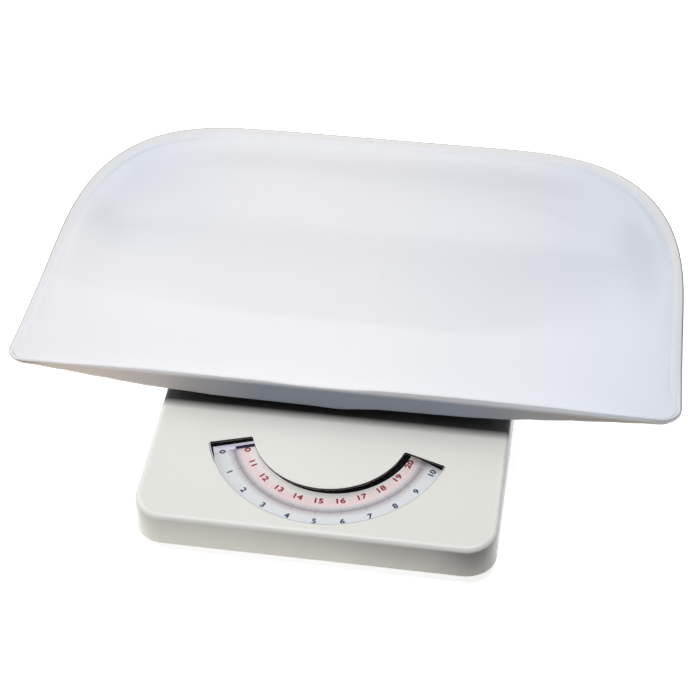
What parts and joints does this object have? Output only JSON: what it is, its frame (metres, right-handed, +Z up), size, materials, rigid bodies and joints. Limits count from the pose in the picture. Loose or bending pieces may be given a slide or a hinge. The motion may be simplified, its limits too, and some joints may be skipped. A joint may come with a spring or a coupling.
{
  "type": "mechanical baby scale",
  "caption": "Mechanical baby scale: a long glossy tray with a raised back on a low base with a sloping panel, a curved window and a dial read by a pointer.",
  "frame": {"origin": "bottom centre of the whole scale's box, on the floor under the feet", "axes": "+X along the tray to the reader's right, +Y from the dial towards the back, +Z up"},
  "size_m": [0.55, 0.4118, 0.142],
  "materials": {
    "cover_plastic": "satin",
    "tray_plastic": "gloss",
    "lens_plastic": "clear",
    "card": "printed",
    "plate_black": "matt",
    "pan_paint": "satin",
    "foot_rubber": "matt",
    "needle_dark": "matt",
    "needle_red": "matt",
    "knob_plastic": "moulded",
    "brass_parts": "turned",
    "zinc_steel": "zinc plated"
  },
  "bodies": {
    "base": {"anchor_pin": "zinc_steel", "base_pan": "pan_paint", "crank_bracket": "zinc_steel", "crank_pin": "zinc_steel", "dial_card": "card", "dial_plate": "plate_black", "dial_posts": "zinc_steel", "foot_back_left": "foot_rubber", "foot_back_right": "foot_rubber", "foot_front_left": "foot_rubber", "foot_front_right": "foot_rubber", "foot_screws": "zinc_steel", "fulcrum_back_left": "zinc_steel", "fulcrum_back_right": "zinc_steel", "fulcrum_front_left": "zinc_steel", "fulcrum_front_right": "zinc_steel", "lower_bush": "brass_parts", "movement_plate": "zinc_steel", "movement_spacers": "zinc_steel", "rack_guide": "zinc_steel", "spring_peg": "zinc_steel", "spring_tower": "zinc_steel", "upper_bush": "brass_parts", "zero_bracket": "zinc_steel"},
    "platform": {"top_cover": "cover_plastic", "window_lens": "lens_plastic", "tray": "tray_plastic", "tray_screws": "zinc_steel", "hanger_front_left": "zinc_steel", "hanger_front_right": "zinc_steel", "hanger_back_left": "zinc_steel", "hanger_back_right": "zinc_steel"},
    "front_lever": {"front_lever": "zinc_steel", "front_lever_pins": "zinc_steel"},
    "back_lever": {"back_lever": "zinc_steel", "back_lever_pins": "zinc_steel"},
    "yoke": {"spring_yoke": "zinc_steel", "main_spring": "zinc_steel"},
    "crank": {"bell_crank": "zinc_steel"},
    "rack": {"rack": "brass_parts", "return_spring": "zinc_steel"},
    "pointers": {"spindle": "zinc_steel", "pinion": "brass_parts", "needle_low_range": "needle_dark", "needle_high_range": "needle_red", "needle_cap": "knob_plastic"},
    "zero_adjuster": {"zero_shaft": "zinc_steel", "zero_knob": "knob_plastic"},
    "zero_nut": {"zero_nut": "zinc_steel"},
    "anchor_arm": {"anchor_arm": "zinc_steel"}
  },
  "joints": [
    {"name": "platform_sink", "type": "slide", "parent": "base", "child": "platform", "axis": [0, 0, -1], "range_m": [0, 0.0035], "stiffness_N_per_m": 56057, "springref_m": -0.00022, "deforming": ["main_spring", "return_spring"]},
    {"name": "front_lever_hinge", "type": "hinge", "parent": "base", "child": "front_lever", "pos_m": [0, -0.1579, 0.018], "axis": [-1, 0, 0], "range_deg": [0, 4.11]},
    {"name": "back_lever_hinge", "type": "hinge", "parent": "base", "child": "back_lever", "pos_m": [0, 0.0961, 0.018], "axis": [1, 0, 0], "range_deg": [0, 6.46]},
    {"name": "yoke_pull", "type": "slide", "parent": "base", "child": "yoke", "axis": [0, 0, -1], "range_m": [0, 0.00981]},
    {"name": "crank_hinge", "type": "hinge", "parent": "base", "child": "crank", "pos_m": [0.011, -0.0459, 0.0145], "axis": [-1, 0, 0], "range_deg": [0, 34.01]},
    {"name": "rack_slide", "type": "slide", "parent": "base", "child": "rack", "axis": [0, 0.9885, 0.1513], "range_m": [0, 0.01711]},
    {"name": "pointer_spin", "type": "hinge", "parent": "base", "child": "pointers", "pos_m": [0, -0.09641, 0.04335], "axis": [0, -0.1513, 0.9885], "range_deg": [0, 280.1]},
    {"name": "zero_knob_turn", "type": "hinge", "parent": "base", "child": "zero_adjuster", "pos_m": [0, 0.1291, 0.04], "axis": [0, 1, 0], "range_deg": [-180, 180], "deforming": ["main_spring"]},
    {"name": "zero_nut_slide", "type": "slide", "parent": "base", "child": "zero_nut", "axis": [0, 1, 0], "range_m": [-0.00051, 0.00051]},
    {"name": "anchor_hinge", "type": "hinge", "parent": "base", "child": "anchor_arm", "pos_m": [0, -0.0119, 0.051], "axis": [1, 0, 0], "range_deg": [-2.61, 2.61]}
  ],
  "couplings": [
    {"joint": "front_lever_hinge", "follows": "platform_sink", "rad_per_m": 20.438},
    {"joint": "back_lever_hinge", "follows": "platform_sink", "rad_per_m": 32.184},
    {"joint": "yoke_pull", "follows": "platform_sink", "ratio": 2.8},
    {"joint": "crank_hinge", "follows": "platform_sink", "rad_per_m": 169.55},
    {"joint": "rack_slide", "follows": "platform_sink", "ratio": 4.8869},
    {"joint": "pointer_spin", "follows": "platform_sink", "rad_per_m": 1396.3},
    {"joint": "zero_nut_slide", "follows": "zero_knob_turn", "m_per_rad": 0.00015915},
    {"joint": "anchor_hinge", "follows": "zero_knob_turn", "ratio": 0.014469}
  ]
}
